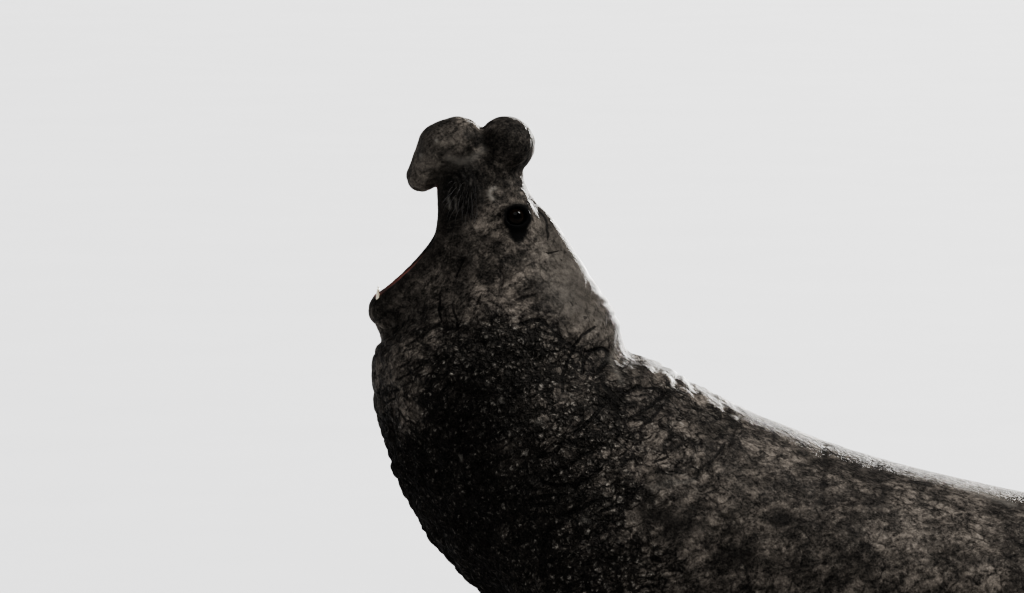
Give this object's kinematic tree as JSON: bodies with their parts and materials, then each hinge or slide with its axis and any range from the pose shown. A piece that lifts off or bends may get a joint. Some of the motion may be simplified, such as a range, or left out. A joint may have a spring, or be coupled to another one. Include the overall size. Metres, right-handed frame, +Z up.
{
  "type": "elephant seal",
  "caption": "Life-size bull elephant seal, reared up on its fore flippers with its head thrown back, its trunk-like nose folded over and its mouth wide open.",
  "frame": {"origin": "on the floor under the middle of the animal's length and width", "axes": "+X from the head to the hind flippers, +Y to the animal's right side, +Z up"},
  "size_m": [4.2146, 1.8332, 1.7527],
  "materials": {
    "hide": "short grey-brown coat lying flat, mottled, dull to faintly damp",
    "dark_hide": "dark wrinkled skin with very short hair, slightly damp",
    "chest_shield": "thick, scarred and creased hide, dark and rough",
    "flipper": "dark, thin-haired skin over the digits, with dark horn claws",
    "eye": "wet and almost black",
    "tongue": "moist, dull pink-grey"
  },
  "bodies": {
    "root": {"proboscis": "dark_hide", "head": "hide", "lower_jaw": "dark_hide", "tongue": "tongue", "eye_left": "eye", "eye_right": "eye", "neck": "chest_shield", "chest": "chest_shield", "belly": "hide", "loin": "hide", "hips": "hide", "tail": "hide", "fore_flipper_left": "flipper", "fore_flipper_right": "flipper", "hind_flipper_left": "flipper", "hind_flipper_right": "flipper"}
  },
  "joints": []
}
